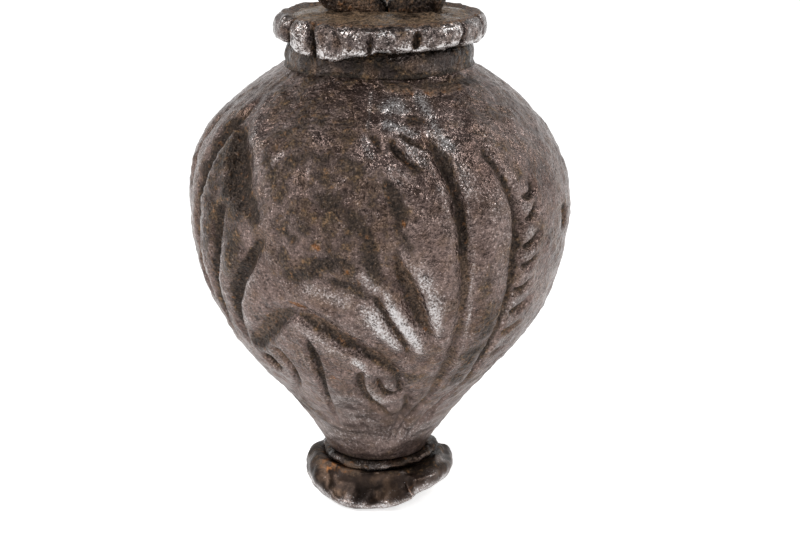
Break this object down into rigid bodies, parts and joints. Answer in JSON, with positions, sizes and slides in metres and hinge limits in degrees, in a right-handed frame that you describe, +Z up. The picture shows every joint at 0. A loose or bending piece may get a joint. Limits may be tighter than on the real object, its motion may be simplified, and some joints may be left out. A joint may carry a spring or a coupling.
{
  "type": "steelyard weight",
  "caption": "Urn-shaped iron counterweight carved with scrolling leaves, filled with lead, on a round foot, hung by a forged eye and a loose swinging ring.",
  "frame": {"origin": "centre of the foot's flat underside, on the table", "axes": "+Z up along the urn's axis, -Y out of the front that the picture shows, +X to the viewer's right"},
  "size_m": [0.0742, 0.0742, 0.141],
  "materials": {
    "cast_iron": "brown-grey patina, worn silvery on the ridges, rust in the cuts",
    "forged_iron": "dark forge scale with rust",
    "lead": "dull grey, dusty"
  },
  "bodies": {
    "weight": {"body_shell": "cast_iron", "lead_core": "lead", "neck_ring": "cast_iron", "neck_collar": "cast_iron", "tail_ring": "forged_iron", "foot_knob": "cast_iron", "suspension_eye": "forged_iron"},
    "ring": {"suspension_ring": "forged_iron"}
  },
  "joints": [
    {"name": "ring_swing", "type": "hinge", "parent": "weight", "child": "ring", "pos_m": [0, 0, 0.10922], "axis": [0, 1, 0], "range_deg": [-116, 116]}
  ]
}
